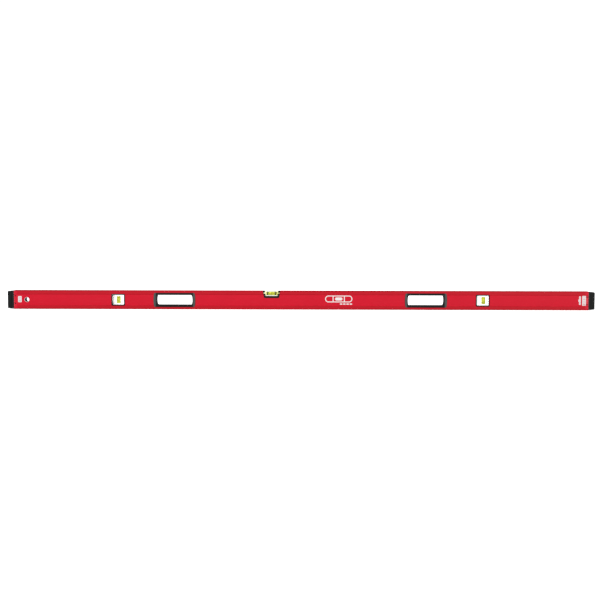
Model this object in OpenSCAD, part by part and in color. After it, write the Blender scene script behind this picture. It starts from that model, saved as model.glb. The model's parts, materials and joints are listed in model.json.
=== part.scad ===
// Box-beam spirit level: a level vial read from above and from both faces, two plumb
// vials, two lined hand holes, a hang hole and pull-off end caps.
// Millimetres. X runs along the length, Y through the thickness (the front face is at
// -Y) and Z upwards. The origin is the centre of the bottom working face.

/* [Frame] */
// Overall length over both end caps
level_length = 1985; // [1700:1:2400]
// Height of the box beam
frame_height = 63.5; // [62:0.5:65]
// Thickness of the box beam over its rails
frame_depth = 26; // [25.5:0.5:29]
// Height of the top rail and of the bottom rail
rail_height = 12.5; // [12:0.25:13]
// How far the web lies behind the faces of the rails
web_recess = 1.2; // [1:0.1:1.4]
// Wall thickness of the web and of the rails' sides
side_wall = 2; // [1.6:0.1:2.2]
// Wall thickness under the two working faces
edge_wall = 3.2; // [2.6:0.1:4]
// Thickness of the two ribs that run along inside the beam
rib_wall = 1.6; // [1.2:0.1:1.8]
// Radius along the beam's long outer edges
edge_radius = 1.5; // [0.8:0.1:2]

/* [Hang hole] */
// Diameter of the hole for hanging the level up
hang_hole_d = 14.5; // [10:0.5:18]
// Distance of the hang hole from the left end of the beam
hang_hole_inset = 44; // [42:0.5:80]

/* [Hand holes] */
// Distance of each hand hole from the middle of the level
hand_hole_x = 425; // [300:1:500]
// Width of each hand hole
hand_hole_width = 122; // [110:1:140]
// Height of each hand hole
hand_hole_height = 33; // [30:0.5:35]
// Width of the grip's flange
grip_width = 142; // [138:1:160]
// Height of the grip's flange
grip_height = 48; // [46:0.5:52]
// How far the flange stands proud of the rails
grip_proud = 0.9; // [0.5:0.1:1.5]
// Wall thickness of the grip's sleeve
grip_wall = 3; // [2:0.1:3.2]
// How far the hole's ends bow outwards
grip_bow = 2.4; // [1:0.1:4]

/* [Plumb vials] */
// Distance of each plumb vial from the middle of the level
plumb_x = 616; // [560:1:700]
// Width of the plumb vial's bezel
bezel_width = 46.2; // [44:0.1:50]
// Height of the plumb vial's bezel
bezel_height = 40; // [38:0.5:42]
// Width of the dark border that the bezel leaves around the window
bezel_border = 3.6; // [2.5:0.1:4]
// How far each tube sits to the right of its window's centre
plumb_tube_offset = 1.9; // [-3:0.1:3]
// How far each tube sits outwards of that, away from the middle of the level
plumb_tube_spread = 2.1; // [0:0.1:3]
// Distance between the two read lines of a plumb vial
plumb_line_spacing = 13.6; // [13.4:0.1:15]

/* [Level vial] */
// Place of the level vial along the frame
level_vial_x = -96; // [-150:1:150]
// Width of the vial's housing at the top working face
housing_top_width = 59.3; // [58:0.1:64]
// Width of the vial's housing at its lower edge
housing_low_width = 49.7; // [48:0.1:52]
// Height of the vial's housing
housing_height = 24.2; // [23:0.1:26]
// Width of the clear block at the top
block_top_width = 45; // [44:0.1:46]
// Width of the clear block at its lower edge
block_low_width = 40; // [39:0.1:42]
// Height of the clear block
block_height = 17; // [16.6:0.1:17.4]
// Depth of the tube's axis below the top working face
level_tube_drop = 9.5; // [9:0.1:9.8]
// Distance between the middles of the two read bands
level_band_spacing = 27; // [26.8:0.1:28]

/* [Vial tubes] */
// Diameter of the level vial's bore
level_tube_d = 11.5; // [11:0.1:11.6]
// Diameter of a plumb vial's bore
plumb_tube_d = 13.4; // [13:0.1:14.4]
// Length of fluid in a plumb vial
plumb_fluid_length = 24; // [23.8:0.1:24.4]
// Length of fluid in the level vial
level_fluid_length = 37; // [36:0.1:37.4]
// Length of a plumb vial's bubble
plumb_bubble_length = 12.4; // [10:0.1:12.8]
// Length of the level vial's bubble
level_bubble_length = 21; // [16:0.1:22]

/* [End caps] */
// Length of each end cap outside the beam
cap_length = 22; // [19:0.5:24]
// How far the cap lies inside the beam's outline, all round
cap_inset = 1.4; // [1:0.1:2.5]
// Depth of the cap's plug in the beam
plug_depth = 26; // [25:0.5:30]
// Distance of the snap pips from the beam's end
pip_inset = 5; // [4.5:0.1:7]
// Distance between the two snap pips on one side
pip_spacing = 26; // [22:0.5:27]
// Diameter of a snap pip
pip_d = 3.8; // [3:0.1:4.2]

/* [Hidden] */

$fn = 48;
LEFT = -1;
RIGHT = 1;
FRONT = -1;
REAR = 1;
beyond = 1;                 // a cutter runs this far past the surface it opens
assembly_fit = 0.15;        // gap round a piece that is pushed into a cut-out
paint_gray = [0.13, 0.14, 0.14];
soft_black = [0.05, 0.05, 0.05];
clear_white = [0.93, 0.95, 0.95, 0.5];
fluid_green = [0.85, 0.87, 0.2];

// Beam
frame_length = level_length - 2 * cap_length;
middle_z = frame_height / 2;
rail_face = frame_depth / 2;
web_face = rail_face - web_recess;
rib_z = rail_height + (web_recess - rib_wall) / 2;
web_cavity_width = 2 * (web_face - side_wall);
web_cavity_height = frame_height - 2 * (rib_z + rib_wall);
rail_cavity_width = frame_depth - 2 * side_wall;
rail_cavity_height = rib_z - edge_wall;
cavity_radius = 1;
hang_hole_x = hang_hole_inset - frame_length / 2;

// Grips
sleeve_width = hand_hole_width + 2 * grip_wall;
sleeve_height = hand_hole_height + 2 * grip_wall;
grip_corner = 5;            // corner radius of the hand hole
grip_bevel = 0.8;           // bevel round the flange and round the hole's mouth

// Plumb vials
bezel_face = rail_face - 0.4;
bezel_radius = 4.2;
window_width = bezel_width - 2 * bezel_border;
window_height = bezel_height - 2 * bezel_border;
window_radius = 2;
plumb_block_face = bezel_face - 0.8;
block_step_width = 8;       // set-back strip along the block's left side
block_step_depth = 1;
block_groove_inset = 4;     // fine groove along the block's right side
block_groove_width = 0.6;

// Vial tubes
tube_film = 0.25;           // the read lines lie between the bore's wall and the fluid
level_fluid_r = level_tube_d / 2 - tube_film;
plumb_fluid_r = plumb_tube_d / 2 - tube_film;
line_width = 0.4;
band_width = 3.4;
plumb_bubble_r = 4.9;
level_bubble_r = 3.2;
bubble_gap = 0.15;          // clearance of a bubble in its channel
level_bubble_rise = 2.2;    // the bubble lies against the top of its tube
channel_end = 0.8;          // fluid left beyond the closed end of a bubble's channel

// Level vial
housing_face = rail_face - 0.3;
housing_top = frame_height - 0.3;
housing_corner = 4;
level_block_face = housing_face - 0.5;
block_top = frame_height - 0.6;
block_corner = 1.5;
ear_width = 53.6;           // the block's ears hold it in the housing's arms
ear_height = 4;
ear_drop = 6.2;
level_tube_z = frame_height - level_tube_drop;

// End caps
cap_width = frame_depth - 2 * cap_inset;
cap_height = frame_height - 2 * cap_inset;
cap_corner = 3;
flange_length = 6;
bumper_length = cap_length - flange_length;
bumper_nose = 2.6;          // radius of the bumper's outer corners
bumper_edge = 1.6;          // radius of its upright outer edges
bumper_taper = 1.6;         // the bumper gets lower by this at the top and the bottom
boss_length = 8;            // the core's boss inside the bumper
boss_width = 12;
boss_height = 40;
plug_fit = 0.3;
plug_width = web_cavity_width - 2 * plug_fit;
plug_height = web_cavity_height - 2 * plug_fit;
plug_wall = 2;
tongue_depth = 10;          // locating tongues in the rails
tongue_fit = 0.5;
latch_root = 2;             // the latch springs from this far before the plug's end
latch_height = pip_spacing + 5;
latch_thickness = 1.8;
latch_gap = 0.5;
latch_start = 1.5;
pip_clearance = 0.25;
pip_sink = 0.3;
pad_width = 7;
pad_height = 29;
pad_proud = 0.7;
pad_inset = 8;              // pad's middle from the cap's outer end
groove_width = 1.6;
groove_depth = 0.8;
notch_offset = 20;          // notches above and below the pad
notch_height = 5;
notch_width = 2.4;

// Labels and printed emblem
film = 0.15;                // thickness of labels and print

// Points along an arc
function arc(centre, radius, from, to, steps = 8) =
    [for (i = [0:steps]) let (a = from + (to - from) * i / steps)
        centre + radius * [cos(a), sin(a)]];

// Outline with straight long sides, bowed ends and rounded corners
function bowed_outline(width, height, bow, corner) =
    let (big = (height * height / 4 + bow * bow) / (2 * bow),
         bx = width / 2 - big,
         cy = height / 2 - corner,
         cx = bx + sqrt(pow(big - corner, 2) - cy * cy),
         meet = atan2(cy, cx - bx))
    concat(arc([bx, 0], big, -meet, meet), arc([cx, cy], corner, meet, 90),
           arc([-cx, cy], corner, 90, 180 - meet), arc([-bx, 0], big, 180 - meet, 180 + meet),
           arc([-cx, -cy], corner, 180 + meet, 270), arc([cx, -cy], corner, 270, 360 - meet));

// Outline of a cradle that hangs from y = 0: sloping sides and rounded lower corners
function cradle_outline(top_width, low_width, height, corner, rise = 0) =
    let (slope = atan2((top_width - low_width) / 2, height),
         cy = corner - height,
         cx = top_width / 2 - corner / cos(slope) + cy * tan(slope))
    concat([[top_width / 2, 0], [top_width / 2, rise], [-top_width / 2, rise], [-top_width / 2, 0]],
           arc([-cx, cy], corner, 180 + slope, 270), arc([cx, cy], corner, 270, 360 - slope));

// Rectangle with round corners, centred
module rounded_rect(width, height, radius) {
    square([width - 2 * radius, height], center = true);
    square([width, height - 2 * radius], center = true);
    for (x = [-1, 1], y = [-1, 1])
        translate([x * (width / 2 - radius), y * (height / 2 - radius)])
            circle(radius);
}

// An outline drawn in X and Z, as a plate from y0 to y1
module plate(y0, y1) {
    translate([0, y1, 0])
        rotate([90, 0, 0])
            linear_extrude(y1 - y0)
                children();
}

// A section drawn in Y and Z, as a bar from x0 to x1
module bar(x0, x1) {
    translate([x0, 0, 0])
        rotate([90, 0, 90])
            linear_extrude(x1 - x0)
                children();
}

// A cutter through the whole thickness
module through() {
    plate(-frame_depth, frame_depth)
        children();
}

// A plate on one face: it lies between two distances from the middle plane
module face_plate(side, inner, outer) {
    plate(min(side * inner, side * outer), max(side * inner, side * outer))
        children();
}

// ---- Frame ----

module beam_section() {
    difference() {
        translate([0, middle_z])
            rounded_rect(frame_depth, frame_height, edge_radius);
        for (side = [FRONT, REAR])
            polygon([
                [side * (rail_face + beyond), rail_height - beyond],
                [side * web_face, rail_height + web_recess],
                [side * web_face, frame_height - rail_height - web_recess],
                [side * (rail_face + beyond), frame_height - rail_height + beyond],
            ]);
        translate([0, middle_z])
            rounded_rect(web_cavity_width, web_cavity_height, cavity_radius);
        for (side = [-1, 1])
            translate([0, middle_z + side * (middle_z - edge_wall - rail_cavity_height / 2)])
                rounded_rect(rail_cavity_width, rail_cavity_height, cavity_radius);
    }
}

module frame_extrusion() {
    color("crimson")
        difference() {
            bar(-frame_length / 2, frame_length / 2)
                beam_section();
            for (side = [LEFT, RIGHT]) {
                translate([side * hand_hole_x, 0, middle_z])
                    through()
                        polygon(bowed_outline(sleeve_width + 2 * assembly_fit,
                                              sleeve_height + 2 * assembly_fit,
                                              grip_bow, grip_corner + grip_wall));
                translate([side * plumb_x, 0, middle_z])
                    through()
                        rounded_rect(bezel_width + 2 * assembly_fit,
                                     bezel_height + 2 * assembly_fit, bezel_radius);
                at_end(side)
                    for (z = [-1, 1])
                        translate([-pip_inset, 0, middle_z + z * pip_spacing / 2])
                            rotate([90, 0, 0])
                                cylinder(h = 2 * frame_depth, r = pip_d / 2 + pip_clearance,
                                         center = true);
            }
            translate([level_vial_x, 0, frame_height])
                through()
                    polygon(cradle_outline(housing_top_width + 2 * assembly_fit,
                                           housing_low_width + 2 * assembly_fit,
                                           housing_height + assembly_fit, housing_corner,
                                           beyond));
            translate([hang_hole_x, 0, middle_z])
                rotate([90, 0, 0])
                    cylinder(h = 2 * frame_depth, r = hang_hole_d / 2, center = true);
        }
}

// ---- Level vial ----

// Place of a piece of the level vial: the top working face above its middle
module at_level_vial() {
    translate([level_vial_x, 0, 0])
        children();
}

// A straight tube along X at the level vial's axis
module level_tube(x0, x1, radius) {
    translate([x0, 0, level_tube_z])
        rotate([0, 90, 0])
            cylinder(h = x1 - x0, r = radius);
}

module block_outline(fit, rise = 0) {
    translate([0, block_top])
        polygon(cradle_outline(block_top_width + 2 * fit, block_low_width + 2 * fit,
                               block_height + fit, block_corner, rise));
    translate([0, frame_height - ear_drop - ear_height / 2])
        square([ear_width + 2 * fit, ear_height + 2 * fit], center = true);
}

module level_vial_housing() {
    color(soft_black)
        at_level_vial()
            difference() {
                plate(-housing_face, housing_face)
                    translate([0, housing_top])
                        polygon(cradle_outline(housing_top_width, housing_low_width,
                                               housing_height + housing_top - frame_height,
                                               housing_corner));
                through()
                    block_outline(0, 2 * beyond);
            }
}

module level_vial_block() {
    color(clear_white)
        at_level_vial()
            difference() {
                plate(-level_block_face, level_block_face)
                    block_outline(0);
                level_tube(-level_fluid_length / 2, block_top_width, level_tube_d / 2);
            }
}

module level_vial_fluid() {
    reach = level_fluid_length / 2 - channel_end;
    color(fluid_green)
        at_level_vial()
            difference() {
                level_tube(-level_fluid_length / 2, level_fluid_length / 2, level_fluid_r);
                translate([0, 0, level_bubble_rise])
                    level_tube(-reach, reach, level_bubble_r + bubble_gap);
            }
}

module level_vial_bands() {
    color("black")
        at_level_vial()
            for (side = [LEFT, RIGHT])
                translate([side * level_band_spacing / 2 - band_width / 2, 0, 0])
                    difference() {
                        level_tube(0, band_width, level_tube_d / 2);
                        level_tube(-beyond, band_width + beyond, level_fluid_r);
                    }
}

module level_vial_plug() {
    side_slope = (block_top_width - block_low_width) / 2 / block_height;
    face_x = block_top_width / 2 - side_slope * (level_tube_drop + level_tube_d / 2);
    color(clear_white)
        at_level_vial()
            level_tube(level_fluid_length / 2, face_x, level_tube_d / 2);
}

module level_vial_bubble() {
    half = level_bubble_length / 2 - level_bubble_r;
    color("ivory")
        at_level_vial()
            translate([0, 0, level_bubble_rise]) {
                level_tube(-half, half, level_bubble_r);
                for (side = [LEFT, RIGHT])
                    translate([side * half, 0, level_tube_z])
                        sphere(level_bubble_r);
            }
}

// ---- Plumb vials ----

module at_plumb_vial(side) {
    translate([side * plumb_x, 0, middle_z])
        children();
}

// Place of a plumb vial's axis beside its window's centre
function plumb_tube_x(side) = plumb_tube_offset + side * plumb_tube_spread;

// A straight tube along Z at a plumb vial's axis
module plumb_tube(side, z0, z1, radius) {
    translate([plumb_tube_x(side), 0, z0])
        cylinder(h = z1 - z0, r = radius);
}

module plumb_bezel(side, face) {
    color(soft_black)
        at_plumb_vial(side)
            difference() {
                face_plate(face, 0, bezel_face)
                    rounded_rect(bezel_width, bezel_height, bezel_radius);
                through()
                    rounded_rect(window_width, window_height, window_radius);
            }
}

module plumb_block(side) {
    color(clear_white)
        at_plumb_vial(side)
            difference() {
                plate(-plumb_block_face, plumb_block_face)
                    rounded_rect(window_width, window_height, window_radius);
                for (face = [FRONT, REAR]) {
                    face_plate(face, plumb_block_face - block_step_depth, frame_depth)
                        translate([-window_width / 2, 0])
                            square([2 * block_step_width, frame_height], center = true);
                    face_plate(face, plumb_block_face - block_groove_width, frame_depth)
                        translate([window_width / 2 - block_groove_inset, 0])
                            square([block_groove_width, frame_height], center = true);
                }
                plumb_tube(side, -window_height, plumb_fluid_length / 2, plumb_tube_d / 2);
            }
}

module plumb_fluid(side) {
    floor_z = channel_end - plumb_fluid_length / 2;
    color(fluid_green)
        at_plumb_vial(side)
            difference() {
                plumb_tube(side, -plumb_fluid_length / 2, plumb_fluid_length / 2,
                           plumb_fluid_r);
                plumb_tube(side, floor_z, plumb_fluid_length, plumb_bubble_r + bubble_gap);
            }
}

module plumb_lines(side) {
    color("black")
        at_plumb_vial(side)
            for (end = [-1, 1])
                translate([0, 0, end * plumb_line_spacing / 2 - line_width / 2])
                    difference() {
                        plumb_tube(side, 0, line_width, plumb_tube_d / 2);
                        plumb_tube(side, -beyond, line_width + beyond, plumb_fluid_r);
                    }
}

module plumb_plug(side) {
    color(clear_white)
        at_plumb_vial(side)
            plumb_tube(side, -window_height / 2, -plumb_fluid_length / 2, plumb_tube_d / 2);
}

module plumb_bubble(side) {
    half = plumb_bubble_length / 2 - plumb_bubble_r;
    color("ivory")
        at_plumb_vial(side) {
            plumb_tube(side, -half, half, plumb_bubble_r);
            for (end = [-1, 1])
                translate([plumb_tube_x(side), 0, end * half])
                    sphere(plumb_bubble_r);
        }
}

// ---- Grips ----

// One half of a hand hole's lining: a flange on the face and a sleeve to the middle
module grip_half(side, face) {
    web_part_height = frame_height - 2 * (rail_height + web_recess + assembly_fit);
    color(soft_black)
        translate([side * hand_hole_x, 0, middle_z])
            difference() {
                union() {
                    face_plate(face, 0, rail_face)
                        polygon(bowed_outline(sleeve_width, sleeve_height, grip_bow,
                                              grip_corner + grip_wall));
                    face_plate(face, web_face, rail_face)
                        intersection() {
                            grip_flange_outline();
                            square([grip_width, web_part_height], center = true);
                        }
                    face_plate(face, rail_face, rail_face + grip_proud - grip_bevel)
                        grip_flange_outline();
                    bevelled_flange(face);
                }
                through()
                    hand_hole_outline();
                hand_hole_mouth(face);
            }
}

module grip_flange_outline() {
    polygon(bowed_outline(grip_width, grip_height, grip_bow, grip_corner));
}

module hand_hole_outline() {
    polygon(bowed_outline(hand_hole_width, hand_hole_height, grip_bow, grip_corner));
}

// The flange's outer layer, narrowing by the bevel towards the user
module bevelled_flange(face) {
    translate([0, face * (rail_face + grip_proud - grip_bevel), 0])
        rotate([-face * 90, 0, 0])
            linear_extrude(grip_bevel, slices = 1, scale = [1 - 2 * grip_bevel / grip_width,
                                                1 - 2 * grip_bevel / grip_height])
                grip_flange_outline();
}

// Cutter that widens the hand hole by the bevel at the flange's face
module hand_hole_mouth(face) {
    mouth = 2 * grip_bevel;
    translate([0, face * (rail_face + grip_proud - mouth), 0])
        rotate([-face * 90, 0, 0])
            linear_extrude(2 * mouth, slices = 1, scale = [1 + 4 * mouth / hand_hole_width,
                                               1 + 4 * mouth / hand_hole_height])
                hand_hole_outline();
}

// ---- End caps ----

// Local frame of an end cap: X points outwards from the beam's end
module at_end(side) {
    mirror([side == LEFT ? 1 : 0, 0, 0])
        translate([frame_length / 2, 0, 0])
            children();
}

module cap_core(side) {
    color(paint_gray)
        at_end(side)
            difference() {
                union() {
                    bar(0, flange_length)
                        translate([0, middle_z])
                            rounded_rect(cap_width, cap_height, cap_corner);
                    bar(flange_length, flange_length + boss_length)
                        cap_boss_section();
                    bar(-plug_depth, 0)
                        translate([0, middle_z])
                            rounded_rect(plug_width, plug_height, cavity_radius);
                    for (z = [-1, 1])
                        bar(-tongue_depth, 0)
                            translate([0, middle_z + z * (middle_z - edge_wall
                                                          - rail_cavity_height / 2)])
                                rounded_rect(rail_cavity_width - 2 * tongue_fit,
                                             rail_cavity_height - 2 * tongue_fit,
                                             cavity_radius);
                }
                bar(-plug_depth - beyond, -latch_start)
                    translate([0, middle_z])
                        rounded_rect(plug_width - 2 * plug_wall, plug_height - 2 * plug_wall,
                                     cavity_radius);
                plate(-plug_width, plug_width)
                    latch_outline(latch_gap);
            }
}

module cap_boss_section() {
    translate([0, middle_z])
        rounded_rect(boss_width, boss_height, cap_corner);
}

// Outline of the snap latch; the gap is left round its three free sides
module latch_outline(gap = 0) {
    root = latch_root - plug_depth;
    tip = -latch_start - latch_gap + gap;
    translate([root, middle_z - latch_height / 2 - gap])
        square([tip - root, latch_height + 2 * gap]);
}

module cap_latch(side, face) {
    color(paint_gray)
        at_end(side) {
            face_plate(face, plug_width / 2 - latch_thickness, plug_width / 2)
                latch_outline();
            for (z = [-1, 1])
                face_plate(face, plug_width / 2, web_face - pip_sink)
                    translate([-pip_inset, middle_z + z * pip_spacing / 2])
                        circle(pip_d / 2);
        }
}

module cap_bumper(side) {
    color(soft_black)
        at_end(side)
            difference() {
                union() {
                    bumper_body();
                    for (face = [FRONT, REAR])
                        face_plate(face, cap_width / 2 - groove_depth, cap_width / 2 + pad_proud)
                            translate([cap_length - pad_inset, middle_z])
                                rounded_rect(pad_width, pad_height, cap_corner / 2);
                }
                bar(flange_length - beyond, flange_length + boss_length)
                    cap_boss_section();
                for (face = [FRONT, REAR]) {
                    face_plate(face, cap_width / 2 - groove_depth, frame_depth)
                        translate([flange_length + groove_width, middle_z])
                            square([groove_width, frame_height], center = true);
                    for (z = [-1, 1])
                        face_plate(face, cap_width / 2 - groove_depth, frame_depth)
                            translate([cap_length - pad_inset, middle_z + z * notch_offset])
                                square([notch_width, notch_height], center = true);
                }
            }
}

// The bumper's block: a little lower at its outer end and rounded along its edges
module bumper_body() {
    reach = 2 * cap_length;
    intersection() {
        bar(flange_length, cap_length)
            translate([0, middle_z])
                rounded_rect(cap_width, cap_height, cap_corner);
        plate(-cap_width, cap_width)
            translate([flange_length, middle_z])
                rotate(90)
                    polygon(cradle_outline(cap_height, cap_height - 2 * bumper_taper,
                                           bumper_length, bumper_nose, beyond));
        linear_extrude(frame_height)
            translate([cap_length - reach, 0])
                rounded_rect(2 * reach, cap_width, bumper_edge);
    }
}

// ---- Labels and emblem ----

// A thin film on the front of the web
module front_film() {
    plate(-web_face - film, -web_face)
        children();
}

// Two joined care symbols, one above the other, without lettering
module left_care_label() {
    symbol_width = 12.4;
    symbol_height = 11.2;
    overlap = 1.6;
    color("white")
        translate([hang_hole_x - 24.1, 0, middle_z + 1.5])
            front_film()
                for (z = [-1, 1])
                    translate([0, z * (symbol_height - overlap) / 2])
                        rounded_rect(symbol_width, symbol_height, 2.4);
}

module right_care_label() {
    color("white")
        translate([frame_length / 2 - 14.5, 0, middle_z + 0.4])
            front_film()
                rounded_rect(12.4, 33, 1.4);
}

// A narrow band with a shallow pointer on its left side
module right_length_label() {
    band_width = 5.8;
    band_height = 28.8;
    pointer_r = 8;
    pointer_reach = 2.4;
    color("white")
        translate([frame_length / 2 - 28.3, 0, middle_z + 1])
            front_film() {
                rounded_rect(band_width, band_height, 1.6);
                intersection() {
                    translate([pointer_r - pointer_reach - band_width / 2, 0])
                        circle(pointer_r);
                    translate([-band_width, 0])
                        square([2 * band_width, 2 * pointer_r], center = true);
                }
            }
}

// A plain pictogram of a level vial with a row of blank bars under it
module bubble_emblem() {
    vial_width = 92;
    vial_height = 23;
    stroke = 3;
    bar_pitch = 11;
    color("white")
        translate([131, 0, middle_z + 4.6])
            front_film() {
                difference() {
                    rounded_rect(vial_width, vial_height, vial_height / 2 - 0.1);
                    rounded_rect(vial_width - 2 * stroke, vial_height - 2 * stroke,
                                 vial_height / 2 - stroke - 0.1);
                }
                for (x = [-1, 1])
                    translate([x * 19, 0])
                        square([stroke, vial_height], center = true);
                rounded_rect(25, 10.4, 5.1);
                for (i = [0:3])
                    translate([8 + bar_pitch * i, -17.2])
                        rounded_rect(8.4, 4, 0.9);
            }
}

frame_extrusion();
level_vial_housing();
level_vial_block();
level_vial_fluid();
level_vial_bands();
level_vial_plug();
level_vial_bubble();
plumb_bezel(LEFT, FRONT);  // left_plumb_bezel_front
plumb_bezel(LEFT, REAR);  // left_plumb_bezel_rear
plumb_block(LEFT);  // left_plumb_block
plumb_fluid(LEFT);  // left_plumb_fluid
plumb_lines(LEFT);  // left_plumb_lines
plumb_plug(LEFT);  // left_plumb_plug
plumb_bubble(LEFT);  // left_plumb_bubble
plumb_bezel(RIGHT, FRONT);  // right_plumb_bezel_front
plumb_bezel(RIGHT, REAR);  // right_plumb_bezel_rear
plumb_block(RIGHT);  // right_plumb_block
plumb_fluid(RIGHT);  // right_plumb_fluid
plumb_lines(RIGHT);  // right_plumb_lines
plumb_plug(RIGHT);  // right_plumb_plug
plumb_bubble(RIGHT);  // right_plumb_bubble
grip_half(LEFT, FRONT);  // left_grip_front
grip_half(LEFT, REAR);  // left_grip_rear
grip_half(RIGHT, FRONT);  // right_grip_front
grip_half(RIGHT, REAR);  // right_grip_rear
cap_core(LEFT);  // left_cap_core
cap_bumper(LEFT);  // left_cap_bumper
cap_latch(LEFT, FRONT);  // left_cap_latch_front
cap_latch(LEFT, REAR);  // left_cap_latch_rear
cap_core(RIGHT);  // right_cap_core
cap_bumper(RIGHT);  // right_cap_bumper
cap_latch(RIGHT, FRONT);  // right_cap_latch_front
cap_latch(RIGHT, REAR);  // right_cap_latch_rear
left_care_label();
right_care_label();
right_length_label();
bubble_emblem();
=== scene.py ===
"""Looks of a two-metre box-beam spirit level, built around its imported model.

Metres. X runs along the length, the front face looks towards -Y and Z is up.
"""
import json
import math

import bmesh
import bpy
from mathutils import Matrix, Vector


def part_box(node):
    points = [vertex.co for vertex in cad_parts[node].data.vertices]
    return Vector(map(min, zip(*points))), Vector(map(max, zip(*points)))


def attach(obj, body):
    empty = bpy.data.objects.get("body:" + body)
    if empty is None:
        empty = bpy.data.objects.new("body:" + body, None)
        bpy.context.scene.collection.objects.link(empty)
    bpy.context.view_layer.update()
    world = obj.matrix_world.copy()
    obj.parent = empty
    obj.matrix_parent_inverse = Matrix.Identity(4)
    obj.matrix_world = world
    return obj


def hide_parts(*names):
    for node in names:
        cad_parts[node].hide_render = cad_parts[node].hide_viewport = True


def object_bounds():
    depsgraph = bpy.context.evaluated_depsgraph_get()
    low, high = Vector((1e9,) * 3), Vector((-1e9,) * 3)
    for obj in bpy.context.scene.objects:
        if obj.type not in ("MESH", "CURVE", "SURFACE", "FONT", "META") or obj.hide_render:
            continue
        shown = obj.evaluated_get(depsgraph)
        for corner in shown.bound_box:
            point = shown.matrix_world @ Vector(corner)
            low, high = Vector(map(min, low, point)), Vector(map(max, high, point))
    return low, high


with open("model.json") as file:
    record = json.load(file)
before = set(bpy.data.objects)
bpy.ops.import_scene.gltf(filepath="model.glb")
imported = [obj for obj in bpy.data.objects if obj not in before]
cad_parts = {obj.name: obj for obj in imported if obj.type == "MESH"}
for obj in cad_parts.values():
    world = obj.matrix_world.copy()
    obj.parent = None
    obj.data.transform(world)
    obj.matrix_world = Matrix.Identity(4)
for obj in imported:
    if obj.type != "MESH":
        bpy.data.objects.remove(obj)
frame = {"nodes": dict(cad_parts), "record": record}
cad_low, cad_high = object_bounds()

MM = 0.001
SIDES = ("left", "right")
FACES = {"front": -1, "rear": 1}        # sign of Y on each face

# ---- Places and sizes taken from the frame ----

beam_low, beam_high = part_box("frame_extrusion")
rail_face = beam_high.y
middle_z = (beam_low.z + beam_high.z) / 2
beam_half_height = middle_z - beam_low.z
beam_half_length = beam_high.x
label_low, label_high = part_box("left_care_label")
web_face = -label_high.y
label_face = label_low.y
web_recess = rail_face - web_face
rail_height, side_wall, edge_wall = 12.5 * MM, 2 * MM, 3.2 * MM     # as in the CAD
web_half_height = beam_half_height - rail_height
hang_hole = next(m for m in frame["record"]["mounts"] if m["name"] == "hang_hole")
hang_hole_x = hang_hole["pos_m"][0]
grip_rim_x, grip_rim_z = 10 * MM, 7.5 * MM      # flange of a hand hole's lining, beyond the hole
tube_gap = 0.04 * MM        # keeps the vials' clear faces from lying in each other
BODY_OF = {n: name for name, nodes in frame["record"]["behaviour"]["bodies"].items() for n in nodes}


def middle_of(node):
    low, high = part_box(node)
    return (low + high) / 2


def size_of(node):
    low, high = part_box(node)
    return high - low


# ---- Outlines: lists of points in a plane ----

def arc(x, y, radius, start, end, steps=8):
    """Points along an arc, with its angles in degrees."""
    angles = [math.radians(start + (end - start) * i / steps) for i in range(steps + 1)]
    return [(x + radius * math.cos(a), y + radius * math.sin(a)) for a in angles]


def straight(a, b, parts):
    """Points between two points, without either of them."""
    return [(a[0] + (b[0] - a[0]) * i / parts, a[1] + (b[1] - a[1]) * i / parts)
            for i in range(1, parts)]


def closed(stretches, parts=10, touching=1e-7):
    """Joins stretches of points into one loop, dividing the straight parts between them."""
    points = []
    for stretch in stretches:
        if points:
            gap = math.dist(points[-1], stretch[0])
            if gap < touching:
                stretch = stretch[1:]
            else:
                points += straight(points[-1], stretch[0], parts)
        points += stretch
    if math.dist(points[-1], points[0]) < touching:
        return points[:-1]
    return points + straight(points[-1], points[0], parts)


def round_rect(width, height, radius, grow=0.0, parts=10, steps=8):
    """A rectangle with round corners about the origin, grown on every side."""
    x, y, r = width / 2 - radius, height / 2 - radius, radius + grow
    return closed([arc(x, y, r, 0, 90, steps), arc(-x, y, r, 90, 180, steps),
                   arc(-x, -y, r, 180, 270, steps), arc(x, -y, r, 270, 360, steps)], parts)


def bowed_rect(width, height, bow, corner, grow=0.0, parts=14):
    """As round_rect, with both ends bowed outwards."""
    big = (height * height / 4 + bow * bow) / (2 * bow)
    bx = width / 2 - big
    cy = height / 2 - corner
    cx = bx + math.sqrt((big - corner) ** 2 - cy * cy)
    meet = math.degrees(math.atan2(cy, cx - bx))
    big, small, fine = big + grow, corner + grow, 28
    return closed([arc(bx, 0, big, -meet, meet, fine), arc(cx, cy, small, meet, 90),
                   arc(-cx, cy, small, 90, 180 - meet),
                   arc(-bx, 0, big, 180 - meet, 180 + meet, fine),
                   arc(-cx, -cy, small, 180 + meet, 270),
                   arc(cx, -cy, small, 270, 360 - meet)], parts)


# ---- Meshes ----

def on_face(points, y, x=0.0, z=0.0):
    """Outline points drawn in X and Z, at a depth y that may be a function of the height."""
    return [Vector((a + x, y(b + z) if callable(y) else y, b + z)) for a, b in points]


def make_object(name, bm, smooth_below=40):
    """An object from a bmesh, smooth except over edges sharper than an angle in degrees."""
    bmesh.ops.recalc_face_normals(bm, faces=bm.faces)
    limit = math.radians(smooth_below)
    for face in bm.faces:
        face.smooth = True
    for edge in bm.edges:
        edge.smooth = len(edge.link_faces) == 2 and edge.calc_face_angle(math.pi) < limit
    mesh = bpy.data.meshes.new(name)
    bm.to_mesh(mesh)
    bm.free()
    made = bpy.data.objects.new(name, mesh)
    bpy.context.scene.collection.objects.link(made)
    return made


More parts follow.
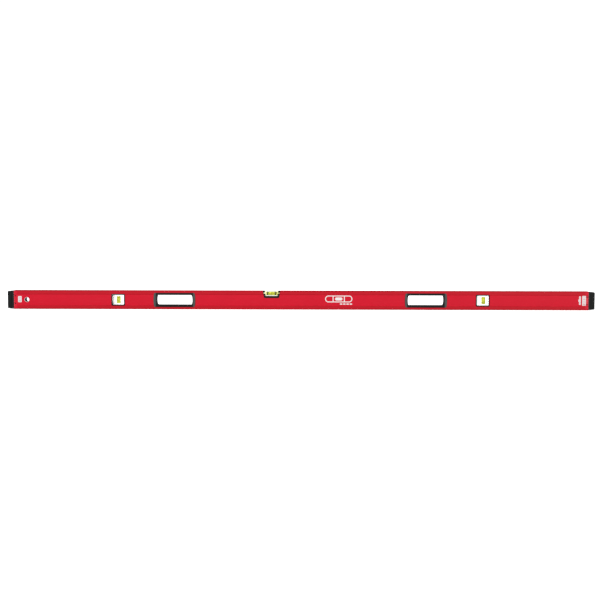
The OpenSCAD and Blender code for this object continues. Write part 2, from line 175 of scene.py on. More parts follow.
def add_loft(bm, loops, endless=False):
    """Faces between loops of equally many points; endless joins the last loop to the first."""
    rings = [[bm.verts.new(p) for p in loop] for loop in loops]
    pairs = list(zip(rings, rings[1:]))
    if endless:
        pairs.append((rings[-1], rings[0]))
    for one, two in pairs:
        for i in range(len(one)):
            j = (i + 1) % len(one)
            bm.faces.new((one[i], one[j], two[j], two[i]))
    if not endless:
        bm.faces.new(rings[0])
        bm.faces.new(rings[-1])


def circle_loop(centre, axis, radius, segments=64):
    """Points round a circle about an axis."""
    across = Vector((0, 1, 0)) if abs(axis.y) < 0.5 else Vector((1, 0, 0))
    other = axis.cross(across)
    angles = [2 * math.pi * i / segments for i in range(segments)]
    return [centre + radius * (across * math.cos(a) + other * math.sin(a)) for a in angles]


def hoops(name, centres, axis, inner, outer, width):
    """Flat rings of one width about an axis, one at each centre."""
    bm = bmesh.new()
    for centre in centres:
        section = ((inner, -1), (outer, -1), (outer, 1), (inner, 1))
        add_loft(bm, [circle_loop(centre + axis * side * width / 2, axis, radius)
                      for radius, side in section], endless=True)
    return make_object(name, bm)


def loft(name, loops, endless=False):
    """A piece with faces between loops of equally many points."""
    bm = bmesh.new()
    add_loft(bm, loops, endless)
    return make_object(name, bm)


def lathe(name, profile, origin, axis, segments=64):
    """Turns a profile of (radius, distance along the axis) about an axis; radius 0 is a pole."""
    bm = bmesh.new()
    rings = []
    for radius, along in profile:
        centre = origin + axis * along
        points = [centre] if radius == 0 else circle_loop(centre, axis, radius, segments)
        rings.append([bm.verts.new(p) for p in points])
    for one, two in zip(rings, rings[1:]):
        for i in range(segments):
            j = (i + 1) % segments
            corners = [one[i % len(one)], one[j % len(one)], two[j % len(two)], two[i % len(two)]]
            bm.faces.new(list(dict.fromkeys(corners)))
    return make_object(name, bm)


def fillet(depth_start, depth_end, grow_start, grow_end, steps=5, hollow=False):
    """(grow, depth) pairs round a quarter turn from one place to the other.
    It starts off along the depth, or across it if hollow."""
    pairs = []
    for i in range(steps + 1):
        turn = math.pi / 2 * i / steps
        slow, fast = 1 - math.cos(turn), math.sin(turn)
        across, inwards = (fast, slow) if hollow else (slow, fast)
        pairs.append((grow_start + (grow_end - grow_start) * across,
                      depth_start + (depth_end - depth_start) * inwards))
    return pairs


def weld(piece):
    """Joins the points that meet where an imported mesh was split at its sharp edges."""
    step = piece.modifiers.new("Joined points", "WELD")
    step.merge_threshold = 0.002 * MM
    return piece


def shrink(piece, gap):
    """Leaves a gap round a piece, so that no face lies in a neighbour's face."""
    weld(piece)
    step = piece.modifiers.new("Clearance", "DISPLACE")
    step.strength = -gap
    step.mid_level = 0
    return piece


def soften(piece, width, segments=3, angle=30):
    """Rounds a piece's sharp edges."""
    if not piece.modifiers:
        weld(piece)
    bevel = piece.modifiers.new("Rounded edges", "BEVEL")
    bevel.width = width
    bevel.segments = segments
    bevel.limit_method = "ANGLE"
    bevel.angle_limit = math.radians(angle)
    bevel.harden_normals = False
    bevel.use_clamp_overlap = True
    return piece


# ---- Materials ----

class Finish:
    """A node material around one Principled shader, in the piece's own coordinates."""

    def __init__(self, name, colour, roughness, **sockets):
        self.material = bpy.data.materials.new(name)
        self.material.use_nodes = True
        self.tree = self.material.node_tree
        self.shader = self.tree.nodes["Principled BSDF"]
        self.shader.inputs["Base Color"].default_value = (*colour, 1)
        self.shader.inputs["Roughness"].default_value = roughness
        for socket, value in sockets.items():
            self.shader.inputs[socket.replace("_", " ")].default_value = value
        self.place = self.node("ShaderNodeTexCoord").outputs["Object"]

    def node(self, kind, **settings):
        made = self.tree.nodes.new(kind)
        for key, value in settings.items():
            setattr(made, key, value)
        return made

    def link(self, source, target):
        self.tree.links.new(source, target)

    def feed(self, socket, source):
        self.link(source, self.shader.inputs[socket])

    def noise(self, size, detail=3.0, stretch=(1, 1, 1), roughness=0.5):
        """Noise from 0 to 1 with features of about the given size in metres."""
        scale = self.node("ShaderNodeVectorMath", operation="MULTIPLY")
        self.link(self.place, scale.inputs[0])
        scale.inputs[1].default_value = [1 / (size * s) for s in stretch]
        made = self.node("ShaderNodeTexNoise")
        self.link(scale.outputs[0], made.inputs["Vector"])
        made.inputs["Scale"].default_value = 1
        made.inputs["Detail"].default_value = detail
        made.inputs["Roughness"].default_value = roughness
        return made.outputs[0]

    def cells(self, size):
        """Distance to the nearest point of a random scatter, for leather-like grain."""
        made = self.node("ShaderNodeTexVoronoi")
        self.link(self.place, made.inputs["Vector"])
        made.inputs["Scale"].default_value = 1 / size
        return made.outputs["Distance"]

    def ranged(self, source, low, high, to_low=0.0, to_high=1.0):
        made = self.node("ShaderNodeMapRange")
        self.link(source, made.inputs["Value"])
        for socket, value in zip(("From Min", "From Max", "To Min", "To Max"),
                                 (low, high, to_low, to_high)):
            made.inputs[socket].default_value = value
        return made.outputs[0]

    def math(self, operation, a, b=0.0):
        made = self.node("ShaderNodeMath", operation=operation)
        for i, term in enumerate((a, b)):
            if isinstance(term, (int, float)):
                made.inputs[i].default_value = term
            else:
                self.link(term, made.inputs[i])
        return made.outputs[0]

    def mixed(self, factor, a, b):
        """Colour a where the factor is 0 and b where it is 1; either may be a socket."""
        made = self.node("ShaderNodeMix", data_type="RGBA")
        self.link(factor, made.inputs["Factor"])
        for socket, term in ((made.inputs[6], a), (made.inputs[7], b)):
            if isinstance(term, tuple):
                socket.default_value = (*term, 1)
            else:
                self.link(term, socket)
        return made.outputs[2]

    def axes(self):
        """The place's X, Y and Z."""
        made = self.node("ShaderNodeSeparateXYZ")
        self.link(self.place, made.inputs[0])
        return made.outputs

    def bump(self, height, depth, previous=None):
        """Relief whose full height is a depth in metres."""
        made = self.node("ShaderNodeBump")
        made.inputs["Strength"].default_value = 1
        made.inputs["Distance"].default_value = depth
        self.link(height, made.inputs["Height"])
        if previous is not None:
            self.link(previous, made.inputs["Normal"])
        return made.outputs[0]


def scaled(colour, factor):
    return tuple(c * factor for c in colour)


def red_powder_coat():
    """Satin powder coat: brighter web than the rails, orange-peel relief, bare metal where the beam was
    cut; painted shade darkens the rails, the long outer edges and the inside of the beam.
    """
    # the rails' red, the edge red and the near-black inside colour are painted shade
    shaded_rail_red, web_red, end_red = (0.55, 0.0030, 0.015), (0.67, 0.0025, 0.022), (0.72, 0.009, 0.034)
    edge_shade_red, fleck_red, scuff_red = (0.40, 0.0008, 0.004), (0.75, 0.03, 0.05), (0.8, 0.16, 0.18)
    chipped, bare_metal, painted_inside_shade = (0.62, 0.20, 0.18), (0.86, 0.85, 0.83), (0.015, 0.015, 0.017)
    f = Finish("red_powder_coat", web_red, 0.38, Specular_IOR_Level=0.25)
    x, y, z = f.axes()
    depth = f.math("ABSOLUTE", y)
    along = f.math("ABSOLUTE", x)
    up = f.math("ABSOLUTE", f.math("SUBTRACT", z, middle_z))

    # web, rails and the two ends, with clouds, flecks and long scuffs; the rails' darker red is painted
    # shade
    on_web = f.ranged(depth, web_face + web_recess * 0.2, web_face + web_recess * 0.5, 1, 0)
    end_start, end_full = beam_half_length - 13 * MM, beam_half_length - 8 * MM
    colour = f.mixed(on_web, shaded_rail_red, web_red)
    colour = f.mixed(f.math("MULTIPLY", f.ranged(along, end_start, end_full), 0.7), colour, end_red)
    clouds = f.ranged(f.noise(45 * MM, 4), 0.3, 0.7, 0, 0.14)
    colour = f.mixed(clouds, colour, scaled(web_red, 0.7))
    flecks = f.ranged(f.noise(0.7 * MM, 2), 0.52, 0.75, 0, 0.14)
    colour = f.mixed(flecks, colour, fleck_red)
    scuffs = f.math("MULTIPLY", f.ranged(f.noise(9 * MM, 6, stretch=(6, 1, 0.12)), 0.64, 0.72), 0.12)
    colour = f.mixed(scuffs, colour, scuff_red)

    # painted shade: deeper red along the long outer edges, and chips along them
    corner = f.math("MULTIPLY", f.ranged(depth, rail_face - 1.9 * MM, rail_face - 0.9 * MM),
                    f.ranged(up, beam_half_height - 2.6 * MM, beam_half_height - 1.2 * MM))
    colour = f.mixed(f.math("MULTIPLY", corner, 0.65), colour, edge_shade_red)
    chips = f.math("MULTIPLY", corner, f.ranged(f.noise(2.2 * MM, 5, stretch=(3, 1, 1)), 0.69, 0.73))
    colour = f.mixed(f.math("MULTIPLY", chips, 0.5), colour, chipped)

    # bare metal round the hang hole and on the cut ends, near-black painted shade inside the beam
    rim_radius, rim_soft, rim_wobble = 8.3 * MM, 0.15 * MM, 0.3 * MM
    across = f.math("SUBTRACT", x, hang_hole_x)
    from_axis = f.math("SQRT", f.math("ADD", f.math("MULTIPLY", across, across),
                                      f.math("MULTIPLY", up, up)))
    from_axis = f.math("ADD", from_axis, f.math("MULTIPLY", f.noise(2 * MM, 2), rim_wobble))
    rim = f.math("MULTIPLY", f.ranged(from_axis, rim_radius, rim_radius + rim_soft, 1, 0),
                 f.ranged(depth, web_face - 0.5 * MM, web_face - 0.4 * MM))
    cut_end = f.ranged(along, beam_half_length - 0.12 * MM, beam_half_length - 0.08 * MM)
    bare = f.math("MAXIMUM", rim, cut_end)
    inner_height = beam_half_height - edge_wall
    inside = f.math("MULTIPLY", f.ranged(depth, rail_face - side_wall, web_face - 0.4 * MM, 1, 0),
                    f.ranged(up, inner_height, inner_height + 0.3 * edge_wall, 1, 0))
    f.feed("Base Color", f.mixed(inside, f.mixed(bare, colour, bare_metal), painted_inside_shade))
    f.feed("Metallic", f.math("MULTIPLY", f.math("MULTIPLY", bare, 0.15),
                              f.math("SUBTRACT", 1.0, inside)))

    grain = f.noise(0.35 * MM, 2)
    f.feed("Roughness", f.math("ADD", f.ranged(grain, 0.3, 0.7, 0.32, 0.43), scuffs))
    peel = f.bump(f.noise(1.4 * MM, 2), 0.045 * MM)
    f.feed("Normal", f.bump(grain, 0.012 * MM, peel))
    return f.material


def paint_moulding(f, colour, roughness, grain_size, grain_depth, dust=0.05, lighter=None, where=None):
    """Gives a finish an eroded grain, rubbed smoother in patches.
    Where a mask is 1 the material has the lighter colour."""
    grain = f.noise(grain_size, 3)
    pits = f.cells(grain_size * 1.6)
    patches = f.noise(14 * MM, 4)
    tone = f.mixed(f.ranged(patches, 0.35, 0.7, 0, 0.5), colour, scaled(colour, 1.6))
    if where is not None:
        tone = f.mixed(where, tone, lighter)
    f.feed("Base Color", f.mixed(f.ranged(grain, 0.58, 0.8, 0, dust), tone, (0.35, 0.36, 0.35)))
    f.feed("Roughness", f.math("ADD", f.ranged(patches, 0.3, 0.7, roughness - 0.07, roughness + 0.05),
                               f.ranged(grain, 0.3, 0.7, -0.05, 0.05)))
    fine = f.bump(grain, grain_depth)
    f.feed("Normal", f.bump(pits, grain_depth * 0.6, fine))


def moulded_black(name, colour, roughness, grain_size, grain_depth, gloss=0.3):
    """Black moulded plastic or rubber."""
    f = Finish(name, colour, roughness, Specular_IOR_Level=gloss)
    paint_moulding(f, colour, roughness, grain_size, grain_depth)
    return f.material


def grip_rubber():
    """Soft black lining, greyer on the flange beyond the two ends of the hole."""
    colour, rim_grey, roughness = (0.006, 0.007, 0.007), (0.072, 0.088, 0.080), 0.52
    low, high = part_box("right_grip_rear")
    hole_x, hole_half_width = (low.x + high.x) / 2, (high.x - low.x) / 2 - grip_rim_x
    f = Finish("grip_rubber", colour, roughness, Specular_IOR_Level=0.25)
    x, y, _ = f.axes()
    from_hole = f.math("ABSOLUTE", f.math("SUBTRACT", f.math("ABSOLUTE", x), hole_x))
    beyond = f.ranged(from_hole, hole_half_width + 1.2 * MM, hole_half_width + 3.0 * MM)
    outside = f.ranged(f.math("ABSOLUTE", y), high.y - 0.9 * MM, high.y - 0.2 * MM)
    paint_moulding(f, colour, roughness, 0.35 * MM, 0.03 * MM, lighter=rim_grey,
                   where=f.math("MULTIPLY", beyond, outside))
    return f.material


def clear_acrylic(name, clear, tint, tinted=None, frost=0.0):
    """Polished clear block: gloss from a coat, hardly any bending of what is behind it.
    Where the mask that tinted makes is 1, the block has a tint and is frosted."""
    f = Finish(name, clear, 0.02, IOR=1.1, Transmission_Weight=1.0, Coat_Weight=0.35,
               Coat_Roughness=0.04, Coat_IOR=1.45)
    haze = f.noise(6 * MM, 4)
    tone = f.mixed(f.ranged(haze, 0.35, 0.7, 0, 1), clear, scaled(clear, 0.96))
    scratches = f.ranged(f.noise(3 * MM, 5, stretch=(5, 1, 0.2)), 0.62, 0.7, 0.015, 0.12)
    if tinted is not None:
        mask = tinted(f)
        tone = f.mixed(mask, tone, tint)
        scratches = f.math("ADD", scratches, f.math("MULTIPLY", mask, frost))
    f.feed("Base Color", tone)
    f.feed("Roughness", scratches)
    f.feed("Normal", f.bump(haze, 0.02 * MM))
    return f.material


def block_marks(f):
    """Mask of the set-back strip and of the fine groove along a plumb vial's block."""
    strip_width, groove_inset, groove_width = 8 * MM, 4 * MM, 1.1 * MM
    low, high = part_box("right_plumb_block")
    vial_x = (low.x + high.x) / 2
    x = f.axes()[0]
    across = f.math("SUBTRACT", x, f.math("MULTIPLY", f.math("SIGN", x), vial_x))
    edge, soft = low.x - vial_x + strip_width, 0.1 * MM
    strip = f.ranged(across, edge - soft, edge + soft, 1, 0)
    from_groove = f.math("ABSOLUTE", f.math("SUBTRACT", across, high.x - vial_x - groove_inset))
    groove = f.ranged(from_groove, groove_width / 2 - soft, groove_width / 2 + soft, 1, 0)
    return f.math("MAXIMUM", strip, groove)


def block_ends(f):
    """Mask of the two ends of the level vial's block, beyond the tube."""
    tube = size_of("level_vial_fluid").x / 2
    from_middle = f.math("ABSOLUTE", f.math("SUBTRACT", f.axes()[0], middle_of("level_vial_fluid").x))
    return f.ranged(from_middle, tube - 1.4 * MM, tube - 0.6 * MM)


def vial_fluid(name, light, deep, painted_glow):
    """Yellow-green fluid that shines in its own colour as painted light, a little deeper in tone in
    drifting clouds.
    """
    f = Finish(name, light, 0.04, Transmission_Weight=0.82, IOR=1.04,
               Coat_Weight=0.3, Coat_Roughness=0.03, Emission_Strength=painted_glow)
    clouds = f.noise(5 * MM, 3)
    tone = f.mixed(f.ranged(clouds, 0.3, 0.7, 0, 1), light, deep)
    f.feed("Base Color", tone)
    # painted light: the fluid emits its own colour, standing in for light that comes through it
    f.feed("Emission Color", tone)
    f.feed("Roughness", f.ranged(clouds, 0.3, 0.7, 0.02, 0.08))
    f.feed("Normal", f.bump(clouds, 0.01 * MM))
    return f.material


def bubble_film():
    """Pale bubble, clearer than the fluid round it, that shines in its own colour as painted light."""
    light, deep = (0.97, 0.97, 0.84), (0.90, 0.93, 0.66)
    f = Finish("bubble_film", light, 0.03, Transmission_Weight=0.7, IOR=1.3,
               Coat_Weight=0.6, Coat_Roughness=0.02, Emission_Strength=0.2)
    clouds = f.noise(3 * MM, 2)
    tone = f.mixed(f.ranged(clouds, 0.3, 0.7, 0, 1), light, deep)
    f.feed("Base Color", tone)
    # painted light: the bubble emits its own colour
    f.feed("Emission Color", tone)
    f.feed("Roughness", f.ranged(clouds, 0.3, 0.7, 0.01, 0.05))
    f.feed("Normal", f.bump(clouds, 0.004 * MM))
    return f.material


def printed(name, colour, roughness):
    """Screen print or film with slightly uneven ink."""
    f = Finish(name, colour, roughness)
    ink = f.noise(1.2 * MM, 4)
    wear = f.ranged(f.noise(6 * MM, 6), 0.66, 0.74, 0, 0.25)
    tone = f.mixed(f.ranged(ink, 0.3, 0.7, 0, 1), colour, scaled(colour, 0.92))
    f.feed("Base Color", f.mixed(wear, tone, scaled(colour, 0.75)))
    f.feed("Roughness", f.ranged(ink, 0.3, 0.7, roughness - 0.06, roughness + 0.06))
    f.feed("Normal", f.bump(ink, 0.006 * MM))
    return f.material


def floor_paper():
    """Pale paper: the camera sees it lit as white, and it throws less light back at the object."""
    light, dark = (0.96, 0.96, 0.96), (0.94, 0.94, 0.94)
    f = Finish("floor_paper", light, 0.8, Specular_IOR_Level=0.0, Emission_Strength=0.45)
    f.shader.inputs["Emission Color"].default_value = (1, 1, 1, 1)
    fibre = f.noise(4 * MM, 4)
    f.feed("Base Color", f.mixed(f.ranged(fibre, 0.3, 0.7, 0, 1), light, dark))
    f.feed("Roughness", f.ranged(fibre, 0.3, 0.7, 0.75, 0.85))
    dim = f.node("ShaderNodeBsdfDiffuse")
    dim.inputs["Color"].default_value = (0.42, 0.42, 0.42, 1)
    pick = f.node("ShaderNodeMixShader")
    rays = f.node("ShaderNodeLightPath")
    seen = f.math("MAXIMUM", rays.outputs["Is Camera Ray"], rays.outputs["Is Transmission Ray"])
    f.link(seen, pick.inputs[0])
    f.link(dim.outputs[0], pick.inputs[1])
    f.link(f.shader.outputs[0], pick.inputs[2])
    f.link(pick.outputs[0], f.tree.nodes["Material Output"].inputs["Surface"])
    return f.material


coat = red_powder_coat()
plastic = moulded_black("black_plastic", (0.0050, 0.0058, 0.0058), 0.42, 0.35 * MM, 0.02 * MM)
rubber = grip_rubber()
cap_plastic = moulded_black("cap_plastic", (0.009, 0.010, 0.0095), 0.48, 0.35 * MM, 0.022 * MM)
cap_rubber = moulded_black("cap_rubber", (0.006, 0.007, 0.0065), 0.56, 0.3 * MM, 0.03 * MM, gloss=0.25)
clearest = (0.96, 0.975, 0.97)
plumb_acrylic = clear_acrylic("plumb_acrylic", clearest, (0.60, 0.60, 0.56), block_marks, 0.5)
level_acrylic = clear_acrylic("level_acrylic", (0.66, 0.67, 0.60), (0.76, 0.76, 0.46), block_ends, 0.35)
plug_acrylic = clear_acrylic("plug_acrylic", clearest, clearest)
plumb_fluid = vial_fluid("plumb_fluid", (0.54, 0.55, 0.04), (0.42, 0.45, 0.025), 0.03)
level_fluid = vial_fluid("level_fluid", (0.74, 0.75, 0.07), (0.64, 0.68, 0.05), 0.12)
bubble = bubble_film()
ink = printed("read_line_ink", (0.002, 0.002, 0.002), 0.5)
label = printed("label_film", (0.90, 0.82, 0.82), 0.3)
print_white = printed("white_print", (0.92, 0.90, 0.88), 0.4)
print_red = printed("red_print", (0.50, 0.08, 0.10), 0.4)
print_grey = printed("grey_print", (0.30, 0.25, 0.25), 0.4)

def finish_node(node, material):
    """A carried-over CAD node with a better material."""
    for each in frame["nodes"][node].material_slots:
        each.material = material
    return frame["nodes"][node]


def place(piece, material, body, slot, *nodes):
    """Gives a new piece its material and its body, and hides the CAD nodes that it stands for; the slot
    is not used.
    """
    piece.data.materials.clear()
    piece.data.materials.append(material)
    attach(piece, body)
    if nodes:
        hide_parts(*nodes)
    return piece


# ---- Frame ----

def dress_frame():
    """The beam as in the CAD, with rounded edges."""
    soften(finish_node("frame_extrusion", coat), 0.25 * MM, 2, 40)


# ---- Grips ----

def seat_depth(z):
    """Depth of the frame's face at a height: the web between the rails, with sloping sides."""
    above = abs(z - middle_z) - (web_half_height - web_recess)
    return web_face + min(max(above, 0), web_recess)


def grip(side, face):
    """Half of a hand hole's lining: sleeve, rounded mouth, flange and its seat on the frame."""
    node = f"{side}_grip_{face}"
    low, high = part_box(node)
    sign = FACES[face]
    centre_x = (low.x + high.x) / 2
    outer = max(abs(low.y), abs(high.y))
    width, height = high.x - low.x, high.z - low.z
    bow, corner = 2.4 * MM, 5 * MM
    wall, mouth, edge, root = 3 * MM, 1.3 * MM, 0.8 * MM, 1 * MM

    def hole(grow, depth):
        points = bowed_rect(width - 2 * grip_rim_x, height - 2 * grip_rim_z, bow, corner, grow)
        return on_face(points, depth, centre_x, middle_z)

    def flange(grow, depth):
        return on_face(bowed_rect(width, height, bow, corner, grow), depth, centre_x, middle_z)

    def seat(z):
        return sign * seat_depth(z)

    loops = [hole(0, sign * outer * i / 6) for i in range(5)]
    loops += [hole(g, sign * d) for g, d in fillet(outer - mouth, outer, 0, mouth)]
    loops += [hole(mouth + 0.8 * MM, sign * outer), flange(-2.2 * MM, sign * outer)]
    loops += [flange(g, sign * d) for g, d in fillet(outer, outer - edge, -edge, 0, hollow=True)]
    loops += [flange(0, seat), flange(-1.5 * MM, seat), hole(wall + root, seat), hole(wall, seat)]
    loops += [hole(wall, sign * web_face * 0.5), hole(wall, 0)]
    place(loft(f"{node}_moulding", loops, endless=True), rubber, BODY_OF[node], "grip_rubber", node)


# ---- Plumb vials ----

def plumb_bezel(side, face):
    """Bezel half: rounded outer edge, chamfered lip round the window."""
    node = f"{side}_plumb_bezel_{face}"
    low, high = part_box(node)
    sign = FACES[face]
    centre_x = (low.x + high.x) / 2
    outer = max(abs(low.y), abs(high.y))
    width, height = high.x - low.x, high.z - low.z
    border, radius, window_radius = 3.6 * MM, 4.2 * MM, 2 * MM
    lip, edge, fine, clearance = 0.45 * MM, 0.55 * MM, 0.12 * MM, 0.07 * MM

    def window(grow, depth):
        points = round_rect(width - 2 * border, height - 2 * border, window_radius, grow)
        return on_face(points, sign * depth, centre_x, middle_z)

    def rim(grow, depth):
        return on_face(round_rect(width, height, radius, grow), sign * depth, centre_x, middle_z)

    loops = [window(clearance, outer * part) for part in (0, 0.45, 0.9)]
    loops += [window(clearance, outer - lip)]
    loops += [window(lip * 0.95, outer - fine), window(lip, outer - fine / 2), window(lip + fine, outer)]
    loops += [rim(-edge - 0.3 * MM, outer)]
    loops += [rim(g, d) for g, d in fillet(outer, outer - edge, -edge, 0, hollow=True)]
    loops += [rim(0, outer * 0.5), rim(0, 0)]
    place(loft(f"{node}_moulding", loops, endless=True), plastic, BODY_OF[node], "black_plastic", node)


def tube_profile(length, radius, rounding, barrel=0.0, parts=12):
    """Profile of a filled tube about its middle, slightly barrel-shaped, with rounded ends."""
    half = length / 2 - rounding
    body = [(radius - barrel * (2 * i / parts - 1) ** 2, -half + 2 * half * i / parts)
            for i in range(parts + 1)]
    small = radius - barrel - rounding
    low = [(small + rounding * math.sin(math.radians(a)), -half - rounding * math.cos(math.radians(a)))
           for a in range(0, 90, 15)]
    if small > 0:
        low = [(0, -length / 2), *low]
    return [*low, *body, *((r, -s) for r, s in reversed(low))]


def fill_tube(vial, axis, fluid, marks, mark_width, rounding, barrel=0.0, plug_gap=0.0, parts=4):
    """Read marks, fluid, stopper and bubble of a vial whose tube lies along an axis."""
    body = BODY_OF[f"{vial}_block"]

    def measured(part):
        """A node's name and middle, its length along the tube and its radius."""
        node = f"{vial}_{part}"
        size = size_of(node)
        return node, middle_of(node), size.dot(axis), (size.x if axis.z else size.z) / 2

    node, middle, length, bore = measured(marks)
    spread = axis * (length - mark_width) / 2
    hooped = hoops(f"{vial}_read_{marks}", (middle - spread, middle + spread), axis,
                   bore - 0.1 * MM, bore + 3 * tube_gap, mark_width)
    place(hooped, ink, body, "read_line_ink", node)
    node, middle, length, _ = measured("fluid")
    profile = tube_profile(length - tube_gap, bore + 2 * tube_gap, rounding, barrel)
    place(lathe(f"{vial}_fluid_fill", profile, middle, axis), fluid, body, "vial_fluid", node)
    node, middle, length, _ = measured("plug")
    profile = tube_profile(length - plug_gap, bore - tube_gap, 0.3 * MM, parts=2)
    place(lathe(f"{vial}_stopper", profile, middle, axis), plug_acrylic, body, "clear_acrylic", node)
    node, middle, length, radius = measured("bubble")
    profile = tube_profile(length, radius, radius, parts=parts)
    place(lathe(f"{vial}_bubble_skin", profile, middle, axis, 48), bubble, BODY_OF[node], "bubble", node)


def plumb_vial(side):
    """Block with its tube, which stands upright."""
    shrink(finish_node(f"{side}_plumb_block", plumb_acrylic), tube_gap)
    fill_tube(f"{side}_plumb", Vector((0, 0, 1)), plumb_fluid, "lines", 0.4 * MM, 0.8 * MM)


# ---- Level vial ----

def level_vial():
    """Housing and block with its tube, which lies along the level."""
    soften(finish_node("level_vial_housing", plastic), 0.4 * MM)
    soften(shrink(finish_node("level_vial_block", level_acrylic), tube_gap), 0.15 * MM, 2)
    fill_tube("level_vial", Vector((1, 0, 0)), level_fluid, "bands", 3.4 * MM, 0.9 * MM,
              barrel=0.02 * MM, plug_gap=tube_gap, parts=8)


# ---- End caps ----

def end_cap(side):
    """Core, bumper and latches as in the CAD, with rounded edges."""
    soften(finish_node(f"{side}_cap_core", cap_plastic), 0.3 * MM, 2, 50)
    soften(finish_node(f"{side}_cap_bumper", cap_rubber), 0.35 * MM, 3, 40)
    for face in FACES:
        soften(finish_node(f"{side}_cap_latch_{face}", cap_plastic), 0.2 * MM, 2, 50)


# ---- Labels ----

def printed_bars(name, spots, back, thickness=0.04 * MM):
    """Flat printed bars on a film: (x, z, width, height) each."""
    bm = bmesh.new()
    for x, z, width, height in spots:
        shape = round_rect(width, height, min(width, height) * 0.3, parts=1, steps=4)
        add_loft(bm, [on_face(shape, back - step, x, z) for step in (0, thickness)])
    return make_object(name, bm)


def printed_rings(name, spots, back, thickness=0.04 * MM):
    """Flat printed rings on a film: (x, z, outer radius, stroke) each."""
    bm = bmesh.new()
    for x, z, outer, stroke in spots:
        section = ((outer, 0), (outer, thickness), (outer - stroke, thickness), (outer - stroke, 0))
        add_loft(bm, [circle_loop(Vector((x, back - step, z)), Vector((0, 1, 0)), radius, 40)
                      for radius, step in section], endless=True)
    return make_object(name, bm)


def labels():
    """Films with plain blank signs: rings, bars, ticks and dashes, no lettering."""
    for node in ("left_care_label", "right_care_label", "right_length_label"):
        finish_node(node, label)
    finish_node("bubble_emblem", print_white)
    body = BODY_OF["left_care_label"]

    middle = middle_of("left_care_label")
    apart = 4.8 * MM
    spots = [(middle.x, middle.z + apart, 3.2 * MM, 0.7 * MM)]
    place(printed_rings("left_care_rings", spots, label_face), print_red, body, "label_film")
    spots = [(middle.x, middle.z - apart + step * 2.2 * MM, (7.5 - 2 * abs(step)) * MM, 0.9 * MM)
             for step in (1, 0, -1)]
    place(printed_bars("left_care_bars", spots, label_face), print_grey, body, "label_film")

    middle = middle_of("right_care_label")
    spots = [(middle.x, middle.z + up * MM, 3.4 * MM, 0.6 * MM) for up in (11, -4.5)]
    place(printed_rings("right_care_rings", spots, label_face), print_red, body, "label_film")
    spots = [(middle.x, middle.z + up * MM, 7.6 * MM, 0.8 * MM) for up in (5, 3.2, -10.5, -12.3, -14.1)]
    place(printed_bars("right_care_bars", spots, label_face), print_red, body, "label_film")

    middle = middle_of("right_length_label")
    spots = [(middle.x + 1.2 * MM, middle.z + step * 2.2 * MM, (2.6 + 1.2 * (step % 2)) * MM, 0.5 * MM)
             for step in range(-5, 6)]
    place(printed_bars("right_length_ticks", spots, label_face), print_grey, body, "label_film")

    pip_x = beam_half_length - 5 * MM
    dash_length, dash_width, pitch = 3.2 * MM, 0.6 * MM, 4.6 * MM
    spots = [(pip_x, middle_z + step * pitch, dash_width, dash_length) for step in (-1.5, -0.5, 0.5, 1.5)]
    place(printed_bars("right_end_dashes", spots, -web_face, 0.1 * MM), print_white, body, "white_print")


# ---- Studio ----

def soft_lamp(name, spot, size, power):
    """A rectangular lamp that looks at the level's middle."""
    lamp = bpy.data.lights.new(name, "AREA")
    lamp.shape = "RECTANGLE"
    lamp.size, lamp.size_y = size
    lamp.energy = power
    holder = bpy.data.objects.new(name, lamp)
    bpy.context.scene.collection.objects.link(holder)
    holder.location = spot
    holder.rotation_mode = "QUATERNION"
    aim = Vector((0, 0, middle_z)) - Vector(spot)
    holder.rotation_quaternion = aim.to_track_quat("-Z", "Y")


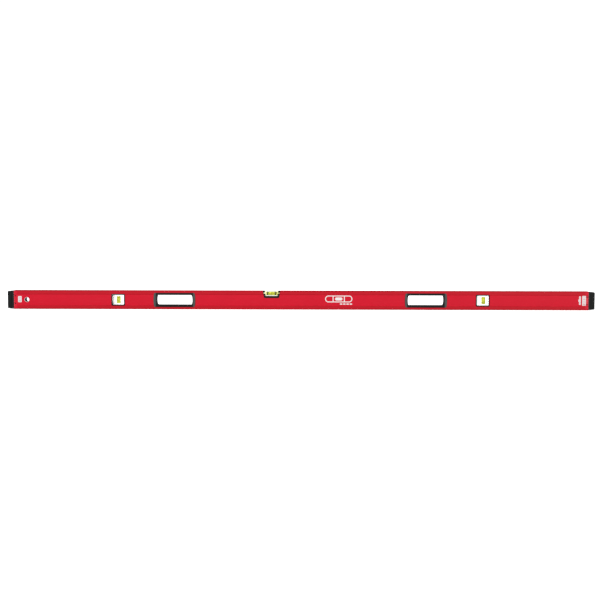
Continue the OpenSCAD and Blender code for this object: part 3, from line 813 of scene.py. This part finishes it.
def studio():
    """Pale floor, white surroundings and four large soft lamps."""
    bm = bmesh.new()
    bmesh.ops.create_grid(bm, x_segments=8, y_segments=8, size=30.0)
    floor = make_object("floor", bm)
    floor.location.z = cad_low.z - 0.05 * MM
    floor.data.materials.append(floor_paper())
    white_surroundings(seen=1.05, lighting=0.62, reflected=0.10)
    soft_lamp("key", (-2.4, -4.4, 3.2), (3.0, 2.0), 150)
    soft_lamp("fill", (2.8, -4.4, 1.6), (2.4, 1.8), 60)
    soft_lamp("top", (0, 0.8, 3.6), (3.4, 1.6), 45)
    soft_lamp("back", (1.4, 3.6, 3.8), (3.0, 1.8), 75)


def white_surroundings(seen, lighting, reflected):
    """World that is seen as white, lights the object with less and is darker in reflections."""
    world = bpy.data.worlds.new("studio")
    bpy.context.scene.world = world
    world.use_nodes = True
    nodes, links = world.node_tree.nodes, world.node_tree.links
    background = nodes["Background"]
    background.inputs["Color"].default_value = (1, 1, 1, 1)
    rays = nodes.new("ShaderNodeLightPath")
    either = nodes.new("ShaderNodeMath")
    either.operation = "MAXIMUM"
    links.new(rays.outputs["Is Camera Ray"], either.inputs[0])
    links.new(rays.outputs["Is Transmission Ray"], either.inputs[1])
    unseen = nodes.new("ShaderNodeMapRange")
    links.new(rays.outputs["Is Glossy Ray"], unseen.inputs["Value"])
    unseen.inputs["To Min"].default_value = lighting
    unseen.inputs["To Max"].default_value = reflected
    strength = nodes.new("ShaderNodeMapRange")
    links.new(either.outputs[0], strength.inputs["Value"])
    links.new(unseen.outputs[0], strength.inputs["To Min"])
    strength.inputs["To Max"].default_value = seen
    links.new(strength.outputs[0], background.inputs["Strength"])


def camera():
    """Camera at the photograph's angle: nearly square on, looking slightly down."""
    distance, azimuth, elevation, roll = 3.1, math.radians(0.8), math.radians(3.8), math.radians(0.09)
    back = Vector((math.sin(azimuth) * math.cos(elevation), -math.cos(azimuth) * math.cos(elevation),
                   math.sin(elevation)))
    lens = bpy.data.cameras.new("camera")
    lens.lens = 54.83
    lens.clip_end = 200
    holder = bpy.data.objects.new("camera", lens)
    bpy.context.scene.collection.objects.link(holder)
    holder.location = Vector((0, 0, middle_z)) + back * distance
    turn = (-back).to_track_quat("-Z", "Y").to_matrix() @ Matrix.Rotation(roll, 3, "Z")
    holder.rotation_euler = turn.to_euler()
    bpy.context.scene.camera = holder


dress_frame()
for side in SIDES:
    for face in FACES:
        grip(side, face)
        plumb_bezel(side, face)
    plumb_vial(side)
    end_cap(side)
level_vial()
labels()
studio()
camera()
bpy.context.scene.view_settings.view_transform = "Standard"
bpy.context.scene.view_settings.look = "None"
